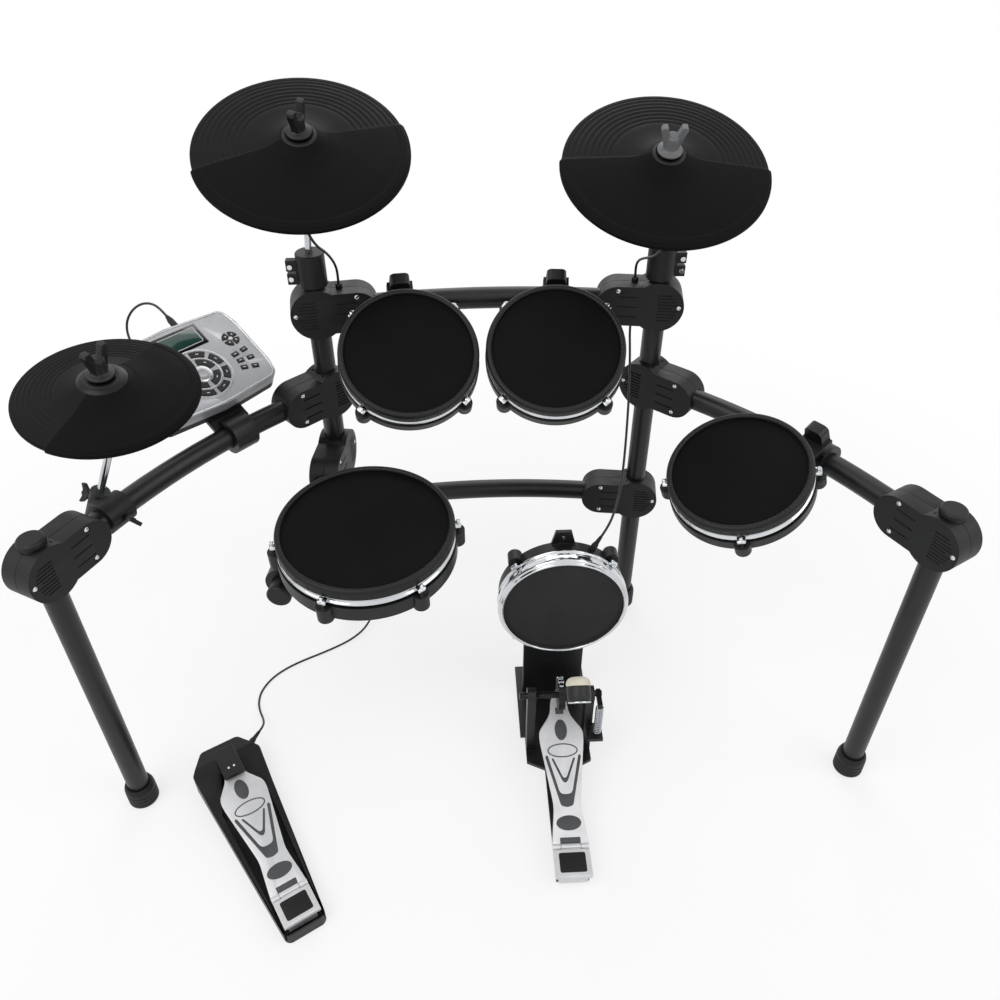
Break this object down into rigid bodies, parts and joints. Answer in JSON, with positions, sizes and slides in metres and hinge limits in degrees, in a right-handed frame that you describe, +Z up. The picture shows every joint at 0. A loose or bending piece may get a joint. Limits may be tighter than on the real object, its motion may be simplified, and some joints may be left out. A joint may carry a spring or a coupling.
{
  "type": "electronic drum kit",
  "caption": "Electronic drum kit on a bowed tube rack: tilted pads, cymbal pads on rods, kick tower with beater pedal, hi-hat pedal and sound module.",
  "frame": {"origin": "middle of the kit's footprint on the floor, measured without its cords", "axes": "+X to the player's right along the rack, +Y away from the player, +Z up"},
  "size_m": [1.4254, 0.8812, 1.1172],
  "materials": {
    "powder_coated_steel": "satin",
    "moulded_black": "matt",
    "shell_black": "satin",
    "black_rubber": "matt",
    "chrome_steel": "polished",
    "pad_rubber": "matt",
    "cast_silver": "satin",
    "module_silver": "satin",
    "screen_glass": "gloss",
    "key_black": "matt",
    "cord_black": "satin"
  },
  "bodies": {
    "rack": {"rack_uprights": "powder_coated_steel", "rear_bars": "powder_coated_steel", "wing_bars": "powder_coated_steel", "snare_arm": "powder_coated_steel", "kick_tower": "powder_coated_steel", "pedal_frame": "powder_coated_steel", "rubber_feet": "black_rubber", "tube_caps": "moulded_black", "tube_clamps": "moulded_black", "post_collars": "moulded_black", "hihat_rod_clamp": "moulded_black", "cymbal_seats": "moulded_black", "cymbal_wing_nuts": "moulded_black", "hihat_pedal_base": "moulded_black", "cable_plugs": "moulded_black", "rack_screws": "chrome_steel", "cymbal_rods": "chrome_steel", "kick_hoop": "chrome_steel", "pedal_spring": "chrome_steel", "kick_head": "pad_rubber", "kick_shell": "shell_black", "pedal_heel_plate": "cast_silver", "hihat_heel_plate": "cast_silver", "hihat_pedal_cable": "cord_black", "kick_cable": "cord_black", "cymbal_cables": "cord_black"},
    "crash": {"crash_base": "moulded_black", "crash_cover": "pad_rubber"},
    "ride": {"ride_base": "moulded_black", "ride_cover": "pad_rubber"},
    "hihat": {"hihat_base": "moulded_black", "hihat_cover": "pad_rubber"},
    "footboard": {"pedal_footboard": "cast_silver", "pedal_chain": "chrome_steel"},
    "axle": {"pedal_axle": "chrome_steel", "pedal_beater": "chrome_steel"},
    "hihat_board": {"hihat_footboard": "cast_silver"},
    "module": {"module_case": "module_silver", "module_back": "moulded_black", "module_screen": "screen_glass", "module_bracket": "moulded_black", "module_cable": "cord_black"},
    "ring_keys": {"module_ring_keys": "key_black"},
    "function_keys": {"module_function_keys": "key_black"},
    "tom_1": {"tom_1_shell": "shell_black", "tom_1_head": "pad_rubber", "tom_1_rim": "black_rubber", "tom_1_hoop": "chrome_steel"},
    "tom_2": {"tom_2_shell": "shell_black", "tom_2_head": "pad_rubber", "tom_2_rim": "black_rubber", "tom_2_hoop": "chrome_steel"},
    "tom_3": {"tom_3_shell": "shell_black", "tom_3_head": "pad_rubber", "tom_3_rim": "black_rubber", "tom_3_hoop": "chrome_steel"},
    "snare": {"snare_shell": "shell_black", "snare_head": "pad_rubber", "snare_rim": "black_rubber", "snare_hoop": "chrome_steel"}
  },
  "joints": [
    {"name": "crash_swing", "type": "hinge", "parent": "rack", "child": "crash", "pos_m": [-0.28407, 0.27764, 1.051], "axis": [0.9974, 0.0283, -0.0666], "range_deg": [-8, 8], "stiffness_Nm_per_rad": 4},
    {"name": "ride_swing", "type": "hinge", "parent": "rack", "child": "ride", "pos_m": [0.28173, 0.27714, 1.0145], "axis": [1, 0.0039, -0.0089], "range_deg": [-8, 8], "stiffness_Nm_per_rad": 4},
    {"name": "hihat_swing", "type": "hinge", "parent": "rack", "child": "hihat", "pos_m": [-0.554, -0.02608, 0.819], "axis": [0.9966, 0.0107, -0.082], "range_deg": [-8, 8], "stiffness_Nm_per_rad": 3},
    {"name": "tom_1_tilt", "type": "hinge", "parent": "rack", "child": "tom_1", "pos_m": [-0.15468, 0.32667, 0.757], "axis": [0.9937, 0.1118, 0], "range_deg": [-12, 12]},
    {"name": "tom_2_tilt", "type": "hinge", "parent": "rack", "child": "tom_2", "pos_m": [0.12018, 0.33012, 0.757], "axis": [0.9962, -0.0869, 0], "range_deg": [-12, 12]},
    {"name": "tom_3_tilt", "type": "hinge", "parent": "rack", "child": "tom_3", "pos_m": [0.54433, 0.05318, 0.592], "axis": [0.5821, -0.8131, 0], "range_deg": [-12, 12]},
    {"name": "snare_tilt", "type": "hinge", "parent": "rack", "child": "snare", "pos_m": [-0.35104, -0.03716, 0.448], "axis": [0.1495, 0.9888, 0], "range_deg": [-12, 12]},
    {"name": "module_tilt", "type": "hinge", "parent": "rack", "child": "module", "pos_m": [-0.44258, 0.17541, 0.592], "axis": [0.6941, 0.7199, 0], "range_deg": [-10, 10]},
    {"name": "ring_keys_press", "type": "slide", "parent": "module", "child": "ring_keys", "axis": [-0.3268, 0.3151, -0.891], "range_m": [0, 0.0015], "stiffness_N_per_m": 400, "springref_m": -0.0005},
    {"name": "function_keys_press", "type": "slide", "parent": "module", "child": "function_keys", "axis": [-0.3268, 0.3151, -0.891], "range_m": [0, 0.0015], "stiffness_N_per_m": 400, "springref_m": -0.0005},
    {"name": "footboard_press", "type": "hinge", "parent": "rack", "child": "footboard", "pos_m": [0.114, -0.31308, 0.034], "axis": [-1, 0, 0], "range_deg": [0, 6.9]},
    {"name": "axle_turn", "type": "hinge", "parent": "rack", "child": "axle", "pos_m": [0.114, -0.08308, 0.162], "axis": [-1, 0, 0], "range_deg": [0, 54], "stiffness_Nm_per_rad": 0.6, "springref_deg": -20.05, "deforming": ["pedal_spring"]},
    {"name": "hihat_board_press", "type": "hinge", "parent": "rack", "child": "hihat_board", "pos_m": [-0.3656, -0.36938, 0.034], "axis": [-0.8634, -0.5045, 0], "range_deg": [0, 5.5], "stiffness_Nm_per_rad": 14, "springref_deg": -6.02}
  ],
  "couplings": [
    {"joint": "axle_turn", "follows": "footboard_press", "ratio": 7.8}
  ]
}
